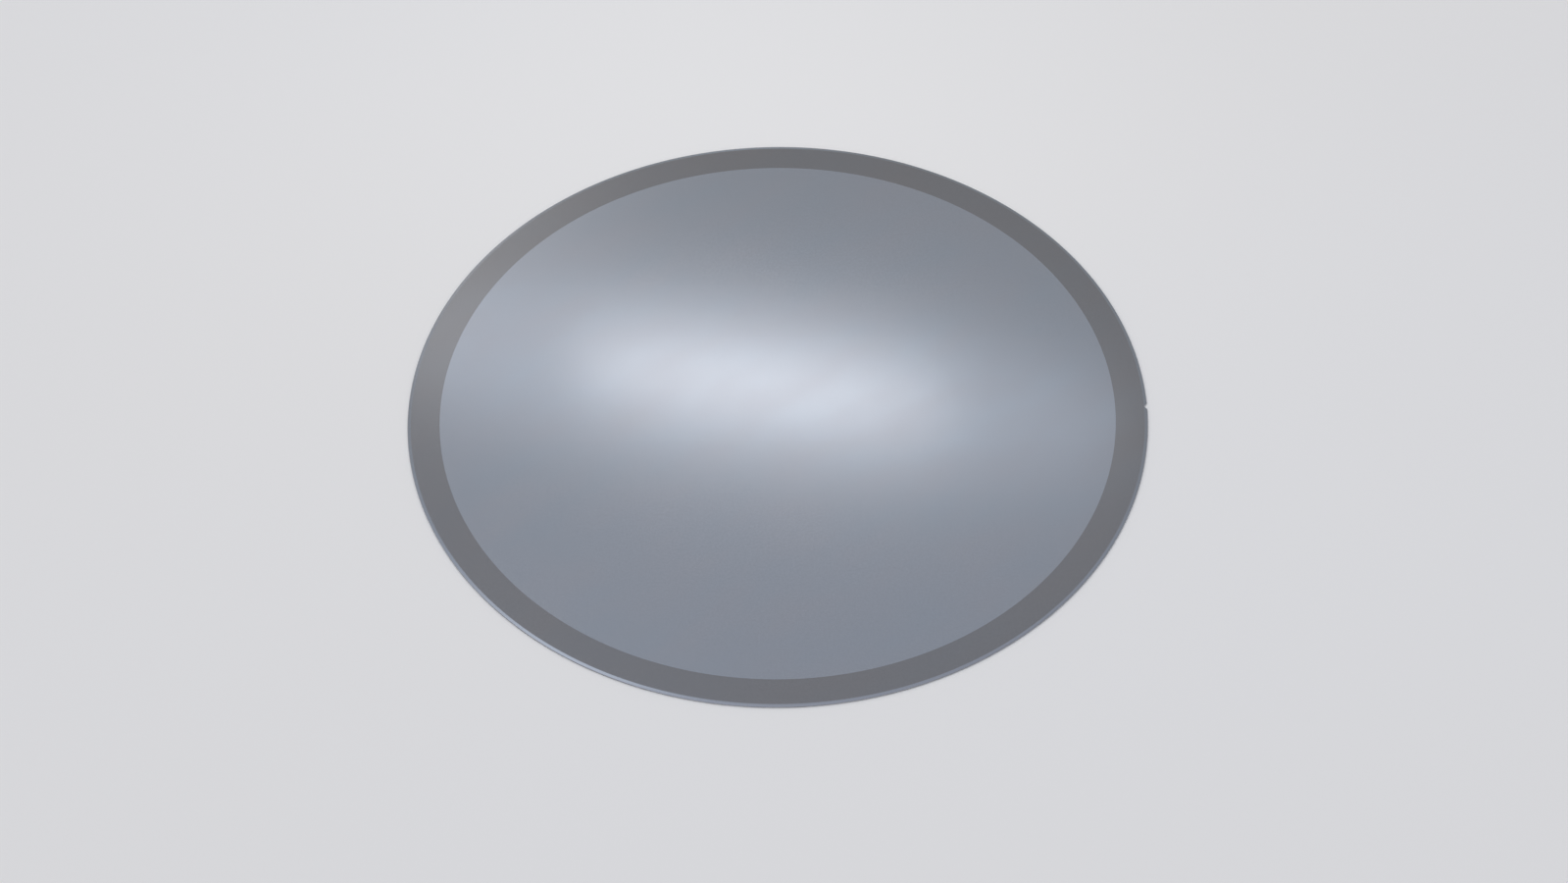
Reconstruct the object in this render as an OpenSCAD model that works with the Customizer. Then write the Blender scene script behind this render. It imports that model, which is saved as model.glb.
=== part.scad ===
// Silicon wafer: a round slice of crystal that lies on its back. A thin film covers the front and
// stops short of the rim. The edge is ground to a shallow bevel on each face and a round nose, and
// a small notch in the rim marks the crystal's direction. Millimetres, +Z up, the origin at the
// centre of the back face, and the notch on +X.

/* [Slice] */
// Diameter across the rim
wafer_d = 300; // [100:1:450]
// Thickness of the bare slice
wafer_t = 0.775; // [0.55:0.005:1.2]

/* [Film] */
// Width of the bare border between the film and the rim
border_w = 13; // [3:0.5:40]
// Thickness of the film
film_t = 0.01; // [0.002:0.001:0.05]

/* [Ground edge] */
// Radial width of the bevel on each face, the nose included
bevel_w = 1.3; // [1:0.1:2.5]
// Slope of the bevel, in degrees below the face
bevel_angle = 6; // [3:0.5:8]

/* [Notch] */
// Depth of the notch, from the rim to its root
notch_depth = 1; // [0.9:0.05:1.4]
// Angle between the notch's flanks
notch_angle = 90; // [80:1:100]
// Radius of the notch's root
root_r = 1; // [0.8:0.05:1.2]
// Radius of the corners where the flanks meet the rim
corner_r = 1; // [0.85:0.05:1.2]
// Slope of the bevel round the notch, in degrees below the face
notch_bevel_angle = 45; // [30:1:55]

/* [Hidden] */
rim_fn = 360;
arc_fn = 48;
rim_r = wafer_d / 2;
film_r = rim_r - border_w;
half_t = wafer_t / 2;
half_angle = notch_angle / 2;

// A flat that runs into a round lies this much of the radius out from its centre, just short of
// touching, so that the two cross at a clean edge
snug = 0.999;

// The nose touches the bevels of both faces, so its radius follows from them
nose_r = (half_t * cos(bevel_angle) - bevel_w * sin(bevel_angle)) / (1 - sin(bevel_angle));

// The root's centre, out from the wafer's
root_x = rim_r - notch_depth + root_r;
// The corners' arcs end this far past the rim, so that they run out of it at a slight angle
runout = 0.02;
corner_at = rim_r - corner_r + runout;
// A corner's centre lies across from the root's centre and then along the flank, as far as brings
// it to that distance from the wafer's centre
across = snug * (root_r + corner_r);
start = root_x * cos(half_angle);
flank_l = sqrt(corner_at ^ 2 - (root_x * sin(half_angle) - across) ^ 2) - start;
corner_x = flank_l * cos(half_angle) - across * sin(half_angle);
corner_y = flank_l * sin(half_angle) + across * cos(half_angle);
corner_turn = 90 - half_angle + atan2(corner_y, root_x + corner_x);

// How far the cuts pass the faces, and how far they reach into the open notch
over = 0.05;
clear = 0.75 * root_r;
lap = 0.5 * root_r;

// Where the nose meets a bevel of this slope, back from the tip and up from the middle
function nose_run(slope) = nose_r * (1 - snug * sin(slope));
function nose_rise(slope) = nose_r * snug * cos(slope);

// Section of the slice, with the tip of its edge at x = 0 and the crystal towards -x
module slice_section() {
    run = nose_run(bevel_angle);
    rise = nose_rise(bevel_angle);
    translate([0, half_t]) {
        translate([-nose_r, 0]) circle(nose_r, $fn = arc_fn);
        polygon([
            [-run, -rise], [-run, rise], [-bevel_w, half_t],
            [-rim_r, half_t], [-rim_r, -half_t], [-bevel_w, -half_t],
        ]);
    }
}

// Section of what is ground away round the notch, from its edge out into the open
module ground_section() {
    run = nose_run(notch_bevel_angle);
    rise = nose_rise(notch_bevel_angle);
    top = half_t + over;
    back = run + (top - rise) / tan(notch_bevel_angle);
    translate([0, half_t]) difference() {
        polygon([
            [-run, -rise], [-run, rise], [-back, top],
            [clear, top], [clear, -top], [-back, -top],
        ]);
        translate([-nose_r, 0]) circle(nose_r, $fn = arc_fn);
    }
}

// The root's round, which runs on a little past both flanks' starts
module notch_root() {
    past = 10;
    turn = 180 - notch_angle + 2 * past;
    rotate(180 - turn / 2) rotate_extrude(angle = turn, $fn = rim_fn)
        translate([root_r, 0]) mirror([1, 0]) ground_section();
}

// One flank, which runs on a little past its corner's start
module notch_flank() {
    length = flank_l + 0.3 * corner_r;
    rotate(half_angle - 90) translate([-snug * root_r, length, 0])
        rotate([90, 0, 0]) linear_extrude(length) ground_section();
}

// The corner where a flank meets the rim
module notch_corner() {
    translate([corner_x, corner_y, 0]) rotate(half_angle - 90)
        rotate_extrude(angle = corner_turn, $fn = rim_fn)
            translate([corner_r, 0]) ground_section();
}

// The open wedge between the flanks, which leaves their edges alone
module notch_middle() {
    tip = (root_r - lap) / sin(half_angle);
    mouth = notch_depth + root_r;
    half_w = (mouth + tip) * tan(half_angle);
    translate([0, 0, -2 * over]) linear_extrude(wafer_t + 4 * over)
        polygon([[-tip, 0], [mouth, -half_w], [mouth, half_w]]);
}

module notch() {
    translate([root_x, 0, 0]) {
        notch_root();
        for (side = [0, 1]) mirror([0, side, 0]) {
            notch_flank();
            notch_corner();
        }
        notch_middle();
    }
}

module wafer() {
    color([0.52, 0.54, 0.58]) {
        difference() {
            rotate_extrude($fn = rim_fn) translate([rim_r, 0]) slice_section();
            notch();
        }
        translate([0, 0, half_t]) cylinder(h = half_t + film_t, r = film_r, $fn = rim_fn);
    }
}

wafer();
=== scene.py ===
# %% [markdown]
# # A silicon wafer, from frame to finish
#
# A wafer is a thin round slice of one silicon crystal. This one is 300 mm across and not quite a
# millimetre thick, and it lies on its back. Nothing on it moves, so the lesson is about exactness:
# a shape that is nearly flat shows its maker's care only in its edge, and in how it takes light.
#
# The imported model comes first. It is the frame that every size is read from, and it isn't changed.

# %% Load the fixed frame
import math

import bmesh
import bpy
from mathutils import Matrix, Vector


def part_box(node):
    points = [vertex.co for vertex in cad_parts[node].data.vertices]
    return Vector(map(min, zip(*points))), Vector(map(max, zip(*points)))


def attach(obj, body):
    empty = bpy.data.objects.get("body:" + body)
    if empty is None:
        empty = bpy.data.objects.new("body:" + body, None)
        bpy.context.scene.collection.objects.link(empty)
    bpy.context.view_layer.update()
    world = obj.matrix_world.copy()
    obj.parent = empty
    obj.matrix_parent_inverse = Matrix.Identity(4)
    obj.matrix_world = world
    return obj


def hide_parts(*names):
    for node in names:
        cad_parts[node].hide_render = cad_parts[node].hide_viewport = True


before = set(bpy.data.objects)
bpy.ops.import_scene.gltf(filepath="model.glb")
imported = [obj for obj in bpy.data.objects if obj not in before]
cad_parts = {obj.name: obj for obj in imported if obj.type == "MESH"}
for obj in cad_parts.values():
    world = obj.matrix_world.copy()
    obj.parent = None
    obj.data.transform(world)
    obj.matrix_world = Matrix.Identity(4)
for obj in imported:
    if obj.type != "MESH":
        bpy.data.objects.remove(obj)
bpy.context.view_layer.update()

low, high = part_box("wafer")

# %% [markdown]
# ## The camera
#
# A disc that lies flat gives itself away by its outline: the flatter the ellipse, the lower the
# eye. A long lens from a good distance keeps that ellipse nearly true, as in catalogue work. An
# aim point and one angle say where such a camera stands, and a slight roll is put in last.

# %% The camera
def put_in_scene(name, data):
    """Makes an object of a mesh, a lamp or a camera, and puts it in the scene."""
    made = bpy.data.objects.new(name, data)
    bpy.context.scene.collection.objects.link(made)
    return made


rim_r = -low.x

LENS_MM, SENSOR_MM = 85, 36
ELEVATION = math.radians(49.5)
ROLL = math.radians(-0.43)
DISTANCE = 9.95 * rim_r
AIM = Vector((0.0166 * rim_r, -0.113 * rim_r, 0))

from_aim = Vector((0, -math.cos(ELEVATION), math.sin(ELEVATION)))
camera_data = bpy.data.cameras.new("camera")
camera_data.lens, camera_data.sensor_width = LENS_MM, SENSOR_MM
camera = put_in_scene("camera", camera_data)
turned = (-from_aim).to_track_quat("-Z", "Y").to_matrix() @ Matrix.Rotation(ROLL, 3, "Z")
camera.matrix_world = Matrix.Translation(AIM + from_aim * DISTANCE) @ turned.to_4x4()
bpy.context.scene.camera = camera
print("the camera stands", round(DISTANCE, 3), "m away")

# %% [markdown]
# ## The sizes
#
# The frame gives the outside of the wafer. The rest is the drawing's: a film on the front that
# stops short of the rim, a shallow bevel on each face, a round nose between the two, and the small
# notch on +X that marks the crystal's direction.
#
# The nose touches both bevels, so its radius isn't free. A line that leans by the bevel's angle
# and starts a bevel's width in from the rim touches just one circle that also touches the rim.

# %% The sizes, in metres
MM = 0.001
FILM_T = 0.01 * MM
BORDER_W = 13 * MM
BEVEL_W = 1.3 * MM
BEVEL_ANGLE = math.radians(6)

top_z = high.z - FILM_T
mid_z = top_z / 2
film_r = rim_r - BORDER_W
flat_r = rim_r - BEVEL_W
nose_r = (mid_z * math.cos(BEVEL_ANGLE) - BEVEL_W * math.sin(BEVEL_ANGLE)) / (
    1 - math.sin(BEVEL_ANGLE)
)
print("nose radius", round(nose_r / MM, 4), "mm, film radius", round(film_r / MM, 2), "mm")

# %% [markdown]
# The notch is a right-angled V with a round root and two round lips. Each lip touches a flank and
# the rim, and that settles how long the flanks are and where on the rim the notch begins. Round
# the notch the bevel is steeper and narrower than the rim's, as a small grinding pin leaves it.

# %% The notch, seen from above
NOTCH_DEPTH = 1 * MM
HALF_ANGLE = math.radians(45)
ROOT_R = 1 * MM
LIP_R = 1 * MM
NOTCH_BEVEL_ANGLE = math.radians(45)

root_at = Vector((rim_r - NOTCH_DEPTH + ROOT_R, 0, 0))
along = Vector((math.cos(HALF_ANGLE), math.sin(HALF_ANGLE), 0))
beside = Vector((-along.y, along.x, 0))
across = ROOT_R + LIP_R
flank_l = (
    math.sqrt((rim_r - LIP_R) ** 2 - (root_at.dot(beside) + across) ** 2)
    - root_at.dot(along)
)
lip_at = root_at + along * flank_l + beside * across
notch_turn = math.atan2(lip_at.y, lip_at.x)
notch_w = 2 * rim_r * notch_turn
print("flanks", round(flank_l / MM, 3), "mm long, notch", round(notch_w / MM, 2), "mm wide")

# %% [markdown]
# ## The section
#
# The slice is turned, so it could start as a cylinder with its edges bevelled. But that tool rounds
# both edges alike and can't say at which angle a flat runs into a round. Cutting the notch with a
# Boolean is the other short way, and it is a poor one here: on surfaces that only just touch, its
# result may change from run to run.
#
# Instead the mesh is grown as the edge is ground, by carrying one section along a path. Two small
# helpers draw a section: straight edges from corner to corner, and a round nose. The nose is a
# single vertex spun about the nose's centre, so it is the same operator as for the disc. A third
# helper says where on a nose a bevel touches it.

# %% Draw a section
def draw_line(bm, vert, *places):
    """Draws straight edges from a vertex through places, and gives the last vertex."""
    for place in places:
        end = bm.verts.new(place)
        bm.edges.new((vert, end))
        vert = end
    return vert


def draw_round(bm, vert, centre, axis, degrees, steps):
    """Spins a vertex about an axis through a centre, and gives the last vertex."""
    spun = bmesh.ops.spin(
        bm, geom=[vert], cent=centre, axis=axis, angle=math.radians(degrees), steps=steps
    )
    return next(g for g in spun["geom_last"] if isinstance(g, bmesh.types.BMVert))


def on_nose(tip, inwards, degrees):
    """The place on a nose, so many degrees up from its tip."""
    lean = math.radians(degrees)
    return tip + inwards * nose_r * (1 - math.cos(lean)) + UP * nose_r * math.sin(lean)


UP = Vector((0, 0, 1))
rim_touch = 90 - math.degrees(BEVEL_ANGLE)
notch_touch = 90 - math.degrees(NOTCH_BEVEL_ANGLE)
print("the rim's bevel touches the nose at", rim_touch, "degrees, the notch's at", notch_touch)

# %% [markdown]
# ## The slice
#
# The section runs from the axis over the film, down the film's step, across the bare border, down
# the bevel, round the nose and back under. It stands where the notch begins, and one spin carries
# it round the rim to where the notch ends. The nose's vertices are spaced so that some of them fall
# where the notch's own, shorter nose will join. What lies inside the bevel is noted for later.

# %% Spin the section round the rim
NOSE_STEPS, LEAD_STEPS = 16, 7
RIM_STEPS = 716
SLACK = 0.01 * MM

wafer_mesh = bmesh.new()
outwards = lip_at.normalized()
rim_tip = outwards * rim_r + UP * mid_z
axis = UP.cross(outwards)
centre = rim_tip - outwards * nose_r
pole = wafer_mesh.verts.new((0, 0, high.z))
vert = draw_line(
    wafer_mesh, pole, outwards * film_r + UP * high.z, outwards * film_r + UP * top_z,
    outwards * flat_r + UP * top_z, on_nose(rim_tip, -outwards, rim_touch),
)
vert = draw_round(wafer_mesh, vert, centre, axis, rim_touch - notch_touch, LEAD_STEPS)
vert = draw_round(wafer_mesh, vert, centre, axis, 2 * notch_touch, NOSE_STEPS)
vert = draw_round(wafer_mesh, vert, centre, axis, rim_touch - notch_touch, LEAD_STEPS)
draw_line(wafer_mesh, vert, outwards * flat_r, (0, 0, 0))
inner_verts = [v for v in wafer_mesh.verts if v.co.xy.length < flat_r + SLACK]
inner_edges = [e for e in wafer_mesh.edges if all(v in inner_verts for v in e.verts)]
bmesh.ops.spin(
    wafer_mesh, geom=wafer_mesh.verts[:] + wafer_mesh.edges[:], cent=(0, 0, 0), axis=UP,
    angle=2 * (math.pi - notch_turn), steps=RIM_STEPS,
)
print("round the rim:", len(wafer_mesh.faces), "faces")

# %% [markdown]
# Behind the notch the flats go on unbroken: the notch's ground edge is narrower than the rim's
# bevel, and never reaches them. So the part of the section inside the bevel closes the gap with a
# spin of its own, the other way from the same start.

# %% Close the flats behind the notch
GAP_STEPS = 8
WELD = 5e-3 * MM

bmesh.ops.spin(
    wafer_mesh, geom=inner_verts + inner_edges, cent=(0, 0, 0), axis=UP,
    angle=-2 * notch_turn, steps=GAP_STEPS,
)
bmesh.ops.remove_doubles(wafer_mesh, verts=wafer_mesh.verts, dist=WELD)
print("with the flats closed:", len(wafer_mesh.faces), "faces")

# %% [markdown]
# ## The notch's wall
#
# The wall's section is a nose with a bevel above and below it, and it starts where the rim's
# section ends. The bevels are drawn too wide for now.

# %% Draw the wall's section
DRAWN_W = 0.5 * MM

verts_before, edges_before = set(wafer_mesh.verts), set(wafer_mesh.edges)
foot = on_nose(rim_tip, -outwards, notch_touch)
slope = -outwards * math.cos(NOTCH_BEVEL_ANGLE) + UP * math.sin(NOTCH_BEVEL_ANGLE)
edge_end = wafer_mesh.verts.new(foot + slope * DRAWN_W)
vert = draw_line(wafer_mesh, edge_end, foot)
vert = draw_round(wafer_mesh, vert, centre, axis, 2 * notch_touch, NOSE_STEPS)
draw_line(wafer_mesh, vert, vert.co + slope.reflect(UP) * DRAWN_W)
ring = [e for e in wafer_mesh.edges if e not in edges_before]
print("the wall's section has", len(ring), "edges")

# %% [markdown]
# The section sweeps round the first lip, runs down the first flank, round the root, up the second
# flank and round the second lip. A spin makes each round and an extrude makes each flank, and each
# of them starts from the edges that the last one ended on.

# %% Sweep the wall round the notch
LIP_STEPS, ROOT_STEPS = 12, 24


def only_edges(parts):
    return [g for g in parts if isinstance(g, bmesh.types.BMEdge)]


def sweep_round(edges, centre, turn, steps):
    """Spins edges about an upright axis through a centre, and gives the last ones."""
    swept = bmesh.ops.spin(
        wafer_mesh, geom=edges, cent=centre, axis=UP, angle=turn, steps=steps
    )
    return only_edges(swept["geom_last"])


def sweep_along(edges, path):
    """Extrudes edges along a straight path, and gives the last ones."""
    grown = bmesh.ops.extrude_edge_only(wafer_mesh, edges=edges)["geom"]
    moved = [g for g in grown if isinstance(g, bmesh.types.BMVert)]
    bmesh.ops.translate(wafer_mesh, verts=moved, vec=path)
    return only_edges(grown)


def flip(v):
    """The same vector on the notch's other side."""
    return Vector((v.x, -v.y, v.z))


lip_turn = math.pi / 2 - HALF_ANGLE + notch_turn
ring = sweep_round(ring, lip_at, -lip_turn, LIP_STEPS)
ring = sweep_along(ring, -along * flank_l)
ring = sweep_round(ring, root_at, math.pi - 2 * HALF_ANGLE, ROOT_STEPS)
ring = sweep_along(ring, flip(along) * flank_l)
sweep_round(ring, flip(lip_at), -lip_turn, LIP_STEPS)
wall = [v for v in wafer_mesh.verts if v not in verts_before]
print("the wall has", len(wall), "vertices")

# %% [markdown]
# Each of the wall's wide bevels has to stop where it meets the rim's bevel. That line curves, so it
# is found by halving: an end slides down its own slope to the height at which the two surfaces are
# level. At the lips' ends the bevel shrinks to nothing, and merging the doubles joins the wall to
# the rim there. The two surfaces only touch at that place, so a hair's allowance keeps rounding
# from leaving a stub.

# %% Trim the wall's bevels to the rim's
HAIR = 2e-4 * MM
HALVINGS = 40


def rim_rise(radius):
    """How high the rim's nose or bevel stands over the middle, at a distance from the axis."""
    depth = rim_r - radius
    touch = nose_r * (1 - math.sin(BEVEL_ANGLE))
    if depth > touch:
        return nose_r * math.cos(BEVEL_ANGLE) + (depth - touch) * math.tan(BEVEL_ANGLE)
    return math.sqrt(max(0, nose_r**2 - (nose_r - depth) ** 2))


def where_level(foot, end):
    """The place from foot towards end at which the wall's bevel is as high as the rim's."""
    near, far = 0, 1
    for _ in range(HALVINGS):
        tried = (near + far) / 2
        at = foot.lerp(end, tried)
        if abs(at.z - mid_z) < rim_rise(at.xy.length) - HAIR:
            near = tried
        else:
            far = tried
    return foot.lerp(end, near)


def rise(vert):
    return abs(vert.co.z - mid_z)


drawn_rise = rise(edge_end) - SLACK
ends = [v for v in wall if rise(v) > drawn_rise]
for end in ends:
    neighbours = [e.other_vert(end) for e in end.link_edges]
    foot = next(v for v in neighbours if rise(v) < drawn_rise)
    end.co = where_level(foot.co, end.co)
bmesh.ops.remove_doubles(wafer_mesh, verts=wafer_mesh.verts, dist=WELD)
print("bevel ends trimmed:", len(ends))

# %% [markdown]
# What is still open is one patch of the rim's bevel on each face, between the notch's trimmed edge
# and the flat. Its outline is a simple one, so it is filled with triangles.

# %% Fill the two patches behind the notch
for side in (1, -1):
    outline = [
        e for e in wafer_mesh.edges
        if e.is_boundary and all((v.co.z - mid_z) * side > 0 for v in e.verts)
    ]
    filled = bmesh.ops.triangle_fill(
        wafer_mesh, edges=outline, use_beauty=True, normal=UP * side
    )["geom"]
    print("patch of", sum(isinstance(g, bmesh.types.BMFace) for g in filled), "triangles")
bmesh.ops.recalc_face_normals(wafer_mesh, faces=wafer_mesh.faces)
print("closed:", all(e.is_manifold for e in wafer_mesh.edges))
print("volume", round(wafer_mesh.calc_volume() / MM**3, 1), "mm3")

# %% [markdown]
# ## Finishes by place, and shading that stays flat
#
# Four finishes meet on real edges of the mesh: the film, the bare border, the polished edge and the
# etched back. How far out a face reaches and how high its middle lies tell which one it wears.
#
# The faces of the nose should blend into each other, but a flat must not blend into a bevel: over
# a face this wide, the slightest blend would show as a dent. So an edge stays smooth only between
# two faces of the polished edge that meet at a small angle, and every other one is marked sharp.

# %% Sort the faces and mark the sharp edges
FILM, BORDER, EDGE, BACK = range(4)
SMOOTH_UNDER = math.radians(10)


def finish_of(face):
    if max(v.co.xy.length for v in face.verts) > flat_r + SLACK:
        return EDGE
    at = face.calc_center_median()
    if at.z < mid_z:
        return BACK
    return FILM if at.z > top_z + FILM_T / 10 else BORDER


for face in wafer_mesh.faces:
    face.smooth = True
    face.material_index = finish_of(face)
for edge in wafer_mesh.edges:
    zones = {face.material_index for face in edge.link_faces}
    edge.smooth = zones == {EDGE} and edge.calc_face_angle(0) < SMOOTH_UNDER
print("sharp edges:", sum(not edge.smooth for edge in wafer_mesh.edges))

# %% [markdown]
# Where a bevel runs into the nose, the Weighted Normal modifier gives the wide face the say. The
# bevel then stays flat right up to the round. The modifier's result becomes the wafer's own mesh.

# %% Make the wafer's object and weight its normals
def as_object(bm, name):
    """Turns a finished bmesh into an object."""
    mesh = bpy.data.meshes.new(name)
    bm.to_mesh(mesh)
    bm.free()
    return put_in_scene(name, mesh)


wafer = as_object(wafer_mesh, "silicon_wafer")
weigh = wafer.modifiers.new("weigh", "WEIGHTED_NORMAL")
weigh.mode, weigh.keep_sharp = "FACE_AREA", True
graph = bpy.context.evaluated_depsgraph_get()
wafer.data = bpy.data.meshes.new_from_object(wafer.evaluated_get(graph))
wafer.modifiers.clear()
print(wafer.name, "has", len(wafer.data.polygons), "faces")

# %% [markdown]
# ## A map for baking
#
# Other programs read the finishes as painted images, so the wafer brings its own map. Blender's
# own unwrap would cut the rim into strips. A disc wants a disc: the front fills a circle, the back
# a smaller one in the opposite corner. Every point keeps its direction from the centre, and its
# distance is measured along the surface, over the film's step and down the bevel. That way even an
# upright wall gets a little width on the map.

# %% Lay out the map
MAP_GAP = 0.004
FRONT_W = 0.77

back_w = 2 * (1 - MAP_GAP) / (1 + math.sqrt(0.5)) - FRONT_W - 3 * MAP_GAP
reach_out = rim_r + mid_z + FILM_T


def place_on_map(co, front):
    """Where a point of the front or of the back goes on the map, which is 1 wide."""
    map_w = FRONT_W if front else back_w
    drop = high.z - co.z if front else co.z
    radius = co.xy.length
    scale = map_w / 2 / reach_out * ((radius + drop) / radius if radius else 1)
    middle = MAP_GAP + FRONT_W / 2 if front else 1 - MAP_GAP - back_w / 2
    side = 1 if front else -1
    return middle + co.x * scale, middle + side * co.y * scale


layout = wafer.data.uv_layers.new(name="OFBake")
for face in wafer.data.polygons:
    for corner in face.loop_indices:
        co = wafer.data.vertices[wafer.data.loops[corner].vertex_index].co
        layout.uv[corner].vector = place_on_map(co, face.center.z > mid_z)
print("front on", FRONT_W, "of the map's width, back on", round(back_w, 3))

# %% [markdown]
# ## The finishes
#
# Silicon isn't a metal, but it bends light so strongly that it shines like one, with a third of
# the light coming back and none of it from inside. A metallic shader with a grey base colour is
# the plain way to say that. What sets the four finishes apart is how fine the surface is:
#
# * the film is even, cool grey and satin, with a grain too fine to feel;
# * the bare border is the same surface without the film, so it is darker and more neutral;
# * the edge is polished by a wheel, so it is a little glossier, with fine lines running round it;
# * the back is only etched, so it is duller, with soft shallow dimples.
#
# A few short helpers keep the node trees readable: one adds a node and fills its sockets, and the
# others are the sums and blends that every finish needs.

# %% Helpers for node trees
def add(tree, kind, **sockets):
    """Adds a node. A socket goes by its name, or by its number as _0, and is set or linked."""
    node = tree.nodes.new(kind)
    for name, value in sockets.items():
        socket = node.inputs[int(name[1:]) if name[0] == "_" else name.replace("_", " ")]
        if isinstance(value, bpy.types.NodeSocket):
            tree.links.new(value, socket)
        else:
            socket.default_value = value
    return node


def maths(tree, operation, *values):
    node = add(tree, "ShaderNodeMath", **{f"_{i}": v for i, v in enumerate(values)})
    node.operation = operation
    return node.outputs["Value"]


def scaled_sum(tree, base, *terms):
    """base + each value times its weight."""
    for value, weight in terms:
        base = maths(tree, "MULTIPLY_ADD", value, weight, base)
    return base


def scaled(tree, colour, factor):
    """A colour times a factor."""
    node = add(tree, "ShaderNodeVectorMath", _0=colour, _3=factor)
    node.operation = "SCALE"
    return node.outputs["Vector"]


def blend_colours(tree, factor, first, second):
    """A colour that is the first where the factor is 0, and the second where it is 1."""
    mixed = add(tree, "ShaderNodeMix")
    mixed.data_type = "RGBA"
    tree.links.new(factor, mixed.inputs["Factor"])
    for socket, colour in ((mixed.inputs[6], first), (mixed.inputs[7], second)):
        if isinstance(colour, bpy.types.NodeSocket):
            tree.links.new(colour, socket)
        else:
            socket.default_value = (*colour, 1)
    return mixed.outputs[2]


print("helpers for node trees: add, maths, scaled_sum, scaled, blend_colours")

# %% [markdown]
# Two effects are shared, so each is a node group that is built once: a fine grain, and broad soft
# patches in which the tone drifts. They give numbers only, and each material puts them to its own
# use.
#
# The grain is two layers of noise, the second at a third of the first one's size. The group gives
# it once as a height from 0 to 1, for relief, and once centred on zero, for tone and gloss.

# %% The grain group
def new_group(name, inputs, outputs):
    """Starts a node group with float inputs, beside the place that every pattern reads."""
    group = bpy.data.node_groups.new(name, "ShaderNodeTree")
    group.interface.new_socket("Place", in_out="INPUT", socket_type="NodeSocketVector")
    for socket in inputs:
        group.interface.new_socket(socket, in_out="INPUT", socket_type="NodeSocketFloat")
    for socket in outputs:
        group.interface.new_socket(socket, in_out="OUTPUT", socket_type="NodeSocketFloat")
    return group, add(group, "NodeGroupInput").outputs, add(group, "NodeGroupOutput").inputs


grain, given, result = new_group("grain", ["Size"], ["Height", "Fleck"])
per_metre = maths(grain, "DIVIDE", 1, given["Size"])
noise = add(
    grain, "ShaderNodeTexNoise", Vector=given["Place"], Scale=per_metre,
    Detail=1.0, Roughness=0.5, Lacunarity=3.0,
).outputs["Fac"]
grain.links.new(noise, result["Height"])
grain.links.new(maths(grain, "SUBTRACT", noise, 0.5), result["Fleck"])
print("group", grain.name, "gives", [s.name for s in result if s.name])

# %% [markdown]
# The patches are one broad noise, drawn out slantwise into soft streaks, as a film is that was laid
# from one side. The Mapping node does it with its Texture type, which turns the place first and
# stretches it then. With the Point type the streaks would lie along X, however it is turned. The
# noise gathers near its middle, so it is spread before use, and capped to run from -1 to 1.

# %% The patches group
STREAK_TURN = math.radians(35)
STREAK_STRETCH = 2.2
SPREAD = 4

patches, given, result = new_group("patches", ["Size"], ["Drift"])
per_metre = maths(patches, "DIVIDE", 1, given["Size"])
streaks = add(
    patches, "ShaderNodeMapping", Vector=given["Place"],
    Rotation=(0, 0, STREAK_TURN), Scale=(STREAK_STRETCH, 1, 1),
)
streaks.vector_type = "TEXTURE"
noise = add(
    patches, "ShaderNodeTexNoise", Vector=streaks.outputs["Vector"], Scale=per_metre,
    Detail=2.0, Roughness=0.45,
).outputs["Fac"]
spread = maths(patches, "MULTIPLY", maths(patches, "SUBTRACT", noise, 0.5), SPREAD)
capped = maths(patches, "MAXIMUM", maths(patches, "MINIMUM", spread, 1), -1)
patches.links.new(capped, result["Drift"])
print("group", patches.name, "gives", [s.name for s in result if s.name])

# %% [markdown]
# Every finish is laid down in the same order: a base colour that drifts between a warmer and a
# cooler grey, flecks of grain in it, a roughness that both of them nudge, and a relief that is
# only just there. One builder does that, and each finish calls it with its own numbers.

# %% Build a finish
def start_finish(name, metallic):
    """A new material, with its tree, its shader and the place that its patterns read."""
    made = bpy.data.materials.new(name)
    made.use_nodes = True
    tree = made.node_tree
    shader = tree.nodes["Principled BSDF"]
    shader.inputs["Metallic"].default_value = metallic
    return made, tree, shader, add(tree, "ShaderNodeTexCoord").outputs["Object"]


def use_group(tree, group, place, size):
    node = add(tree, "ShaderNodeGroup")
    node.node_tree = group
    tree.links.new(place, node.inputs["Place"])
    node.inputs["Size"].default_value = size
    return node.outputs


def drift_colour(tree, warm, cool, drift):
    """A colour between warm and cool, by a drift from -1 to 1."""
    return blend_colours(tree, maths(tree, "MULTIPLY_ADD", drift, 0.5, 0.5), warm, cool)


def link_finish(tree, shader, colour, rough, height, relief):
    """Links a colour, a roughness and a height to the shader. The relief is in metres."""
    bump = add(tree, "ShaderNodeBump", Height=height, Distance=relief, Strength=1.0)
    tree.links.new(colour, shader.inputs["Base Color"])
    tree.links.new(rough, shader.inputs["Roughness"])
    tree.links.new(bump.outputs["Normal"], shader.inputs["Normal"])


def lay_finish(
    name, *, warm, cool, roughness, grain_size, fleck, relief, patch_size, uneven
):
    """A satin grey: fleck and uneven say how much the grain and the patches show."""
    made, tree, shader, place = start_finish(name, metallic=1)
    fine = use_group(tree, grain, place, grain_size)
    broad = use_group(tree, patches, place, patch_size)
    brightness = scaled_sum(tree, 1.0, (fine["Fleck"], fleck), (broad["Drift"], uneven))
    colour = scaled(tree, drift_colour(tree, warm, cool, broad["Drift"]), brightness)
    rough = scaled_sum(tree, roughness, (fine["Fleck"], fleck), (broad["Drift"], -uneven))
    link_finish(tree, shader, colour, rough, fine["Height"], relief)
    print(name, "laid, roughness about", roughness)
    return made


print("finishes are built on the groups", grain.name, "and", patches.name)

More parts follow.
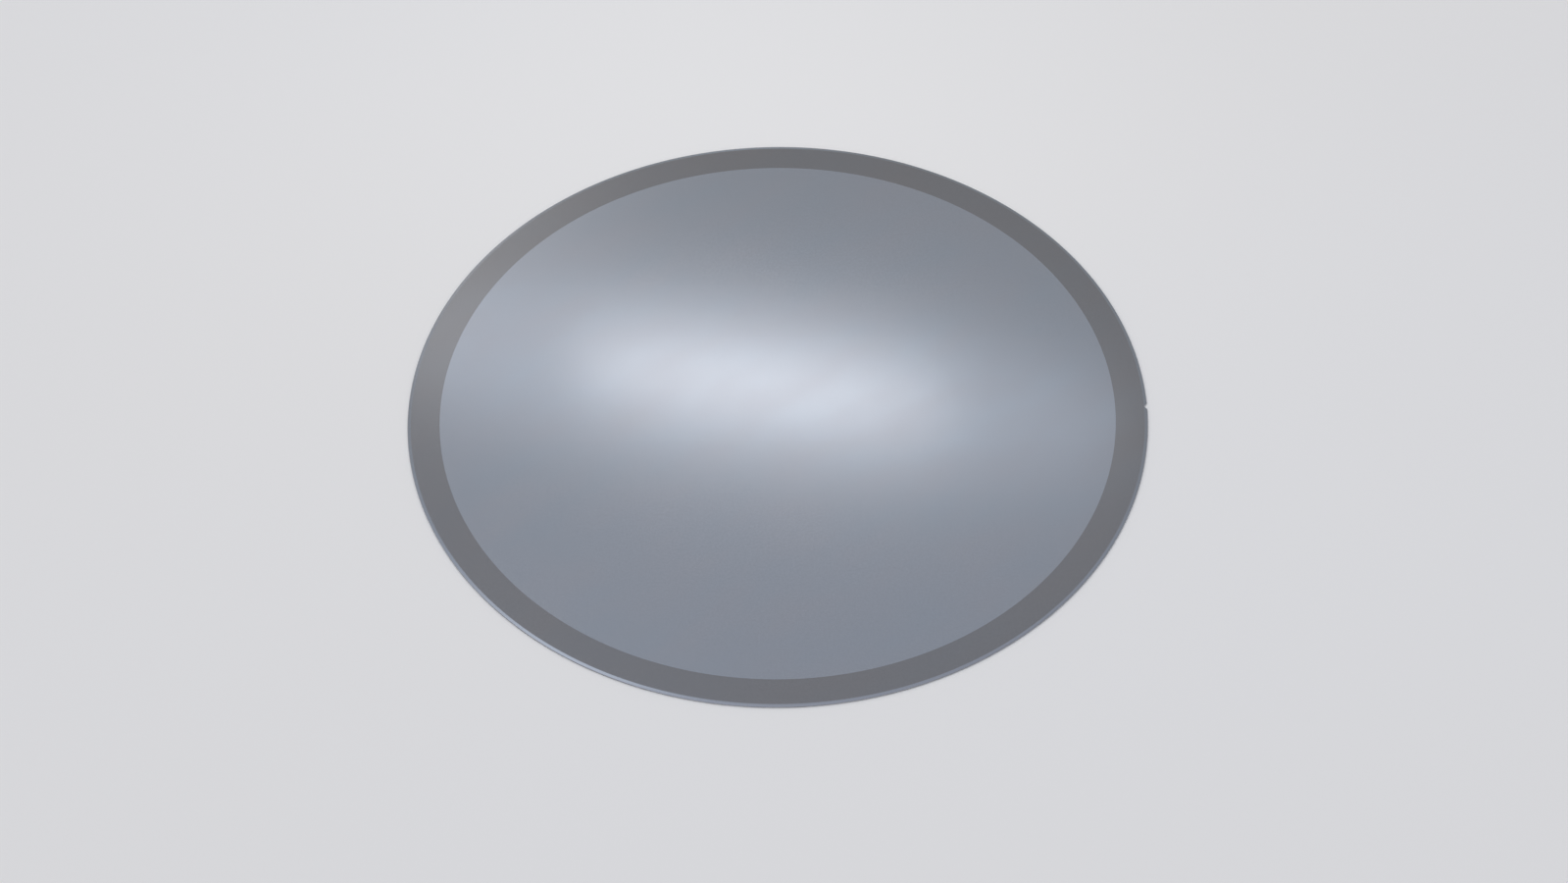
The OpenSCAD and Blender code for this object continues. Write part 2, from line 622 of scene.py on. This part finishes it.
# %% [markdown]
# The film is laid over the polished front and takes its grain from it. So the film and the bare
# border share everything but their colour and how uneven they are.

# %% The film, the border and the back
POLISHED_FRONT = dict(
    roughness=0.225, grain_size=0.9 * MM, fleck=0.08, relief=0.0018 * MM, patch_size=21 * MM
)

film = lay_finish(
    "film", warm=(0.389, 0.406, 0.459), cool=(0.377, 0.409, 0.470), uneven=0.012,
    **POLISHED_FRONT,
)
border = lay_finish(
    "bare_silicon", warm=(0.271, 0.268, 0.284), cool=(0.265, 0.270, 0.292), uneven=0.014,
    **POLISHED_FRONT,
)
etched = lay_finish(
    "etched_back", warm=(0.292, 0.300, 0.318), cool=(0.285, 0.300, 0.326), uneven=0.03,
    roughness=0.42, grain_size=1.6 * MM, fleck=0.06, relief=0.004 * MM, patch_size=40 * MM,
)

# %% [markdown]
# The wheel that polishes the edge runs round the rim, and it leaves lines that follow it. Noise on
# the place itself would give dots. Read on the distance from the axis and the height instead, and
# hardly at all on the angle, the same noise is drawn out into long fine arcs.

# %% The polished edge
EDGE_WARM, EDGE_COOL = (0.325, 0.344, 0.386), (0.317, 0.345, 0.397)
EDGE_ROUGHNESS = 0.21
LINE_PITCH = 0.06 * MM
LINE_BREAKS = 9
LINE_TONE, LINE_DULLING, LINE_RELIEF = 0.08, 0.06, 0.0004 * MM
PATCH_SIZE, PATCH_TONE, PATCH_DULLING = 60 * MM, 0.02, 0.01

polished, tree, shader, place = start_finish("polished_edge", metallic=1)
split = add(tree, "ShaderNodeSeparateXYZ", Vector=place).outputs
squares = [maths(tree, "POWER", split[name], 2) for name in "XY"]
radius = maths(tree, "SQRT", maths(tree, "ADD", *squares))
angle = maths(tree, "ARCTAN2", split["Y"], split["X"])
wrapped = add(
    tree, "ShaderNodeCombineXYZ",
    X=maths(tree, "DIVIDE", radius, LINE_PITCH),
    Y=maths(tree, "MULTIPLY", maths(tree, "SINE", angle), LINE_BREAKS),
    Z=maths(tree, "DIVIDE", split["Z"], LINE_PITCH),
).outputs["Vector"]
lines = add(tree, "ShaderNodeTexNoise", Vector=wrapped, Scale=1.0, Detail=2.0).outputs["Fac"]
centred = maths(tree, "SUBTRACT", lines, 0.5)
drift = use_group(tree, patches, place, PATCH_SIZE)["Drift"]
brightness = scaled_sum(tree, 1.0, (centred, LINE_TONE), (drift, PATCH_TONE))
colour = scaled(tree, drift_colour(tree, EDGE_WARM, EDGE_COOL, drift), brightness)
rough = scaled_sum(tree, EDGE_ROUGHNESS, (centred, LINE_DULLING), (drift, PATCH_DULLING))
link_finish(tree, shader, colour, rough, lines, LINE_RELIEF)
print(polished.name, "laid, with lines", round(LINE_PITCH / MM, 2), "mm apart")

# %% [markdown]
# The finishes go on the wafer in the order in which its faces number them. The piece stands in for
# the imported node, which is hidden, and rides on the one body.

# %% Put the wafer in the frame
for finish in (film, border, polished, etched):
    wafer.data.materials.append(finish)
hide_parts("wafer")
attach(wafer, "root")
print(wafer.name, "wears", [m.name for m in wafer.data.materials])

# %% [markdown]
# ## The studio
#
# A wafer is close to a mirror, so what it shows is the room. A plain pale floor carries it. The
# floor lies a little below the back, so that the two faces don't fight for the same place.

# %% The floor
FLOOR_HALF = 4
FLOOR_DROP = 0.02 * MM
FLOOR_WARM, FLOOR_COOL = (0.86, 0.86, 0.855), (0.85, 0.86, 0.87)
MOTTLE_SIZE = 0.4

floor_mesh = bmesh.new()
bmesh.ops.create_grid(floor_mesh, x_segments=8, y_segments=8, size=FLOOR_HALF)
bmesh.ops.translate(floor_mesh, verts=floor_mesh.verts, vec=-UP * FLOOR_DROP)
floor = as_object(floor_mesh, "floor")
paint, tree, shader, place = start_finish("pale_floor", metallic=0)
mottle = use_group(tree, patches, place, MOTTLE_SIZE)["Drift"]
colour = drift_colour(tree, FLOOR_WARM, FLOOR_COOL, mottle)
tree.links.new(colour, shader.inputs["Base Color"])
shader.inputs["Roughness"].default_value = 0.9
shader.inputs["Specular IOR Level"].default_value = 0.1
floor.data.materials.append(paint)
print("floor", 2 * FLOOR_HALF, "m across")

# %% [markdown]
# The surround is a soft light grey, brighter overhead than low down and a little brighter on the
# left. Its colours are read by direction, and ramps turn a height or an angle into a blend.

# %% The grey surround
LOW_GREY, HIGH_GREY = (0.60, 0.565, 0.52), (1.0, 1.024, 1.115)
RISE_FROM, RISE_TO = 0.5, 0.95
LEFT_GAIN = 0.46


def ramp(tree, value, start, end, interpolation="LINEAR"):
    """A factor that is 0 up to start and 1 from end on."""
    node = add(tree, "ShaderNodeMapRange", Value=value, From_Min=start, From_Max=end)
    node.interpolation_type = interpolation
    return node.outputs["Result"]


world = bpy.data.worlds.new("surround")
world.use_nodes = True
tree = world.node_tree
towards = add(tree, "ShaderNodeTexCoord").outputs["Generated"]
split = add(tree, "ShaderNodeSeparateXYZ", Vector=towards).outputs
greys = blend_colours(tree, ramp(tree, split["Z"], RISE_FROM, RISE_TO), LOW_GREY, HIGH_GREY)
sided = scaled(tree, greys, maths(tree, "MULTIPLY_ADD", split["X"], -LEFT_GAIN, 1.0))
print("surround: grey", LOW_GREY, "low down,", HIGH_GREY, "overhead")

# %% [markdown]
# Mirrored whole, that would wash the film out. So a darker grey card with a very soft edge hangs
# where the flat front is mirrored. The sloping edge of the wafer looks past the card, and that is
# what draws its pale line. Round the foot of it all stands a plain pale backdrop, which the wafer
# mirrors when it is seen from low down.

# %% The card and the backdrop
CARD_LOW, CARD_HIGH = (0.528, 0.532, 0.523), (0.528, 0.551, 0.588)
CARD_FROM, CARD_TO = 0.69, 0.80
CARD_UP = math.radians(47.0)
CARD_SOFT_FROM, CARD_SOFT_TO = math.radians(13), math.radians(27)
BACKDROP = (0.69, 0.695, 0.71)
BACKDROP_FROM, BACKDROP_TO = 0.25, 0.42

facing_card = add(
    tree, "ShaderNodeVectorMath", _0=towards, _1=(0, math.cos(CARD_UP), math.sin(CARD_UP))
)
facing_card.operation = "DOT_PRODUCT"
from_middle = maths(tree, "ARCCOSINE", facing_card.outputs["Value"])
off_card = ramp(tree, from_middle, CARD_SOFT_FROM, CARD_SOFT_TO, "SMOOTHSTEP")
card = blend_colours(tree, ramp(tree, split["Z"], CARD_FROM, CARD_TO), CARD_LOW, CARD_HIGH)
room = blend_colours(tree, off_card, card, sided)
over_backdrop = ramp(tree, split["Z"], BACKDROP_FROM, BACKDROP_TO, "SMOOTHSTEP")
shown = blend_colours(tree, over_backdrop, BACKDROP, room)
tree.links.new(shown, tree.nodes["Background"].inputs["Color"])
bpy.context.scene.world = world
print("card: grey", CARD_LOW, "at its foot,", CARD_HIGH, "at its top")

# %% [markdown]
# The lamps are placed from the eye back. A bar of light should lie across the film, so the lamp
# stands where a ray from the eye, mirrored at that place, goes. A slim bright tube with a longer,
# dimmer glow round it gives the bar soft ends, and the glow sits a little further along, so one end
# fades more slowly. The glow stands a centimetre behind the tube: in one plane, Cycles would count
# only one of the two where they overlap.

# %% The bar of light
BAR_AT = Vector((-0.044 * rim_r, 0.0773 * rim_r, 0))
BAR_AWAY = 0.3213
BAR_TURN = math.radians(-8.2)
GLOW_BEHIND, GLOW_ALONG = 0.01, 0.018


def soft_light(name, at, towards, size, level, colour, turn=0.0):
    """An oval lamp whose face is as bright as level, where 1 is white. Gives how it is turned."""
    light = bpy.data.lights.new(name, "AREA")
    light.shape, light.size, light.size_y = "ELLIPSE", *size
    light.energy = math.pi * (math.pi / 4 * size[0] * size[1]) * level
    light.color = colour
    lamp = put_in_scene(name, light)
    facing = (towards - at).to_track_quat("-Z", "Y").to_matrix() @ Matrix.Rotation(turn, 3, "Z")
    lamp.matrix_world = Matrix.Translation(at) @ facing.to_4x4()
    print(name, "stands", round((at - towards).length, 2), "m away, face level", level)
    return facing


to_eye = (camera.matrix_world.translation - BAR_AT).normalized()
mirrored = Vector((-to_eye.x, -to_eye.y, to_eye.z))
facing = soft_light(
    "tube", BAR_AT + mirrored * BAR_AWAY, BAR_AT,
    size=(0.1934, 0.0224), level=2.4, colour=(1, 0.948, 0.872), turn=BAR_TURN,
)
glow_at = BAR_AT + facing @ Vector((GLOW_ALONG, 0, 0))
soft_light(
    "glow", glow_at + mirrored * (BAR_AWAY + GLOW_BEHIND), glow_at,
    size=(0.416, 0.08), level=0.502, colour=(0.934, 0.978, 1), turn=BAR_TURN,
)

# %% [markdown]
# Three small round lamps lift the wafer's edge at the near left, the far left and the far side.
# They hang a metre up and look straight down.

# %% The round lamps
LAMP_UP = 1

for name, x, y, lamp_w, level, colour in (
    ("near_left", -0.297, 0.37, 0.31, 0.80, (0.93, 0.97, 1)),
    ("far_left", -0.3256, 1.2023, 0.305, 1.08, (1, 0.934, 0.853)),
    ("far", -0.06, 1.68, 0.29, 0.42, (0.84, 0.93, 1)),
):
    soft_light(
        name, Vector((x, y, LAMP_UP)), Vector((x, y, 0)),
        size=(lamp_w, lamp_w), level=level, colour=colour,
    )

# %% [markdown]
# ## The view settings
#
# The Standard view shows a colour about as it is written.

# %% View settings
bpy.context.scene.view_settings.view_transform = "Standard"
